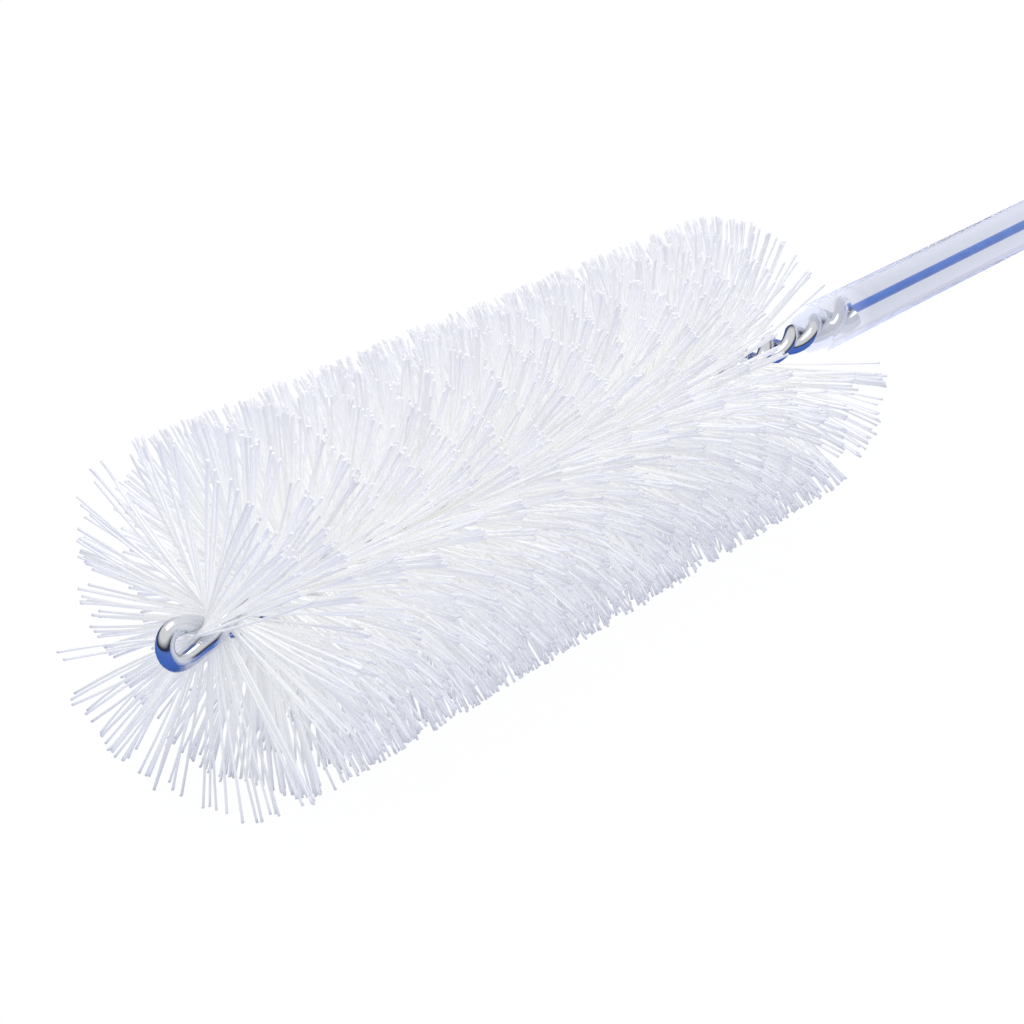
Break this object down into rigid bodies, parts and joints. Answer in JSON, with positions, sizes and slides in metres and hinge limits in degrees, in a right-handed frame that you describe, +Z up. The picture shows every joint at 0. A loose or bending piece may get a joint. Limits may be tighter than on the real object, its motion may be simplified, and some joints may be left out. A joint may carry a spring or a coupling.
{
  "type": "bottle brush",
  "caption": "Bottle brush with nylon bristles held in a twisted wire that is folded into a loop at the nose, on a straight clear rod handle with a blue core.",
  "frame": {"origin": "on the surface that the brush lies on, under the middle of its overall length and of its width", "axes": "+X along the brush from its nose to the end of the handle, +Z up from the surface it lies on"},
  "size_m": [0.3984, 0.06, 0.0589],
  "materials": {
    "steel_wire": "polished stainless steel wire",
    "nylon_bristle": "translucent white nylon filament",
    "clear_rod": "clear polished acrylic",
    "blue_core": "royal blue, seen through the rod"
  },
  "bodies": {
    "root": {"stem_wire": "steel_wire", "bristle_turn_1": "nylon_bristle", "bristle_turn_2": "nylon_bristle", "bristle_turn_3": "nylon_bristle", "bristle_turn_4": "nylon_bristle", "bristle_turn_5": "nylon_bristle", "bristle_turn_6": "nylon_bristle", "bristle_turn_7": "nylon_bristle", "bristle_turn_8": "nylon_bristle", "handle": "clear_rod", "handle_core": "blue_core"}
  },
  "joints": []
}
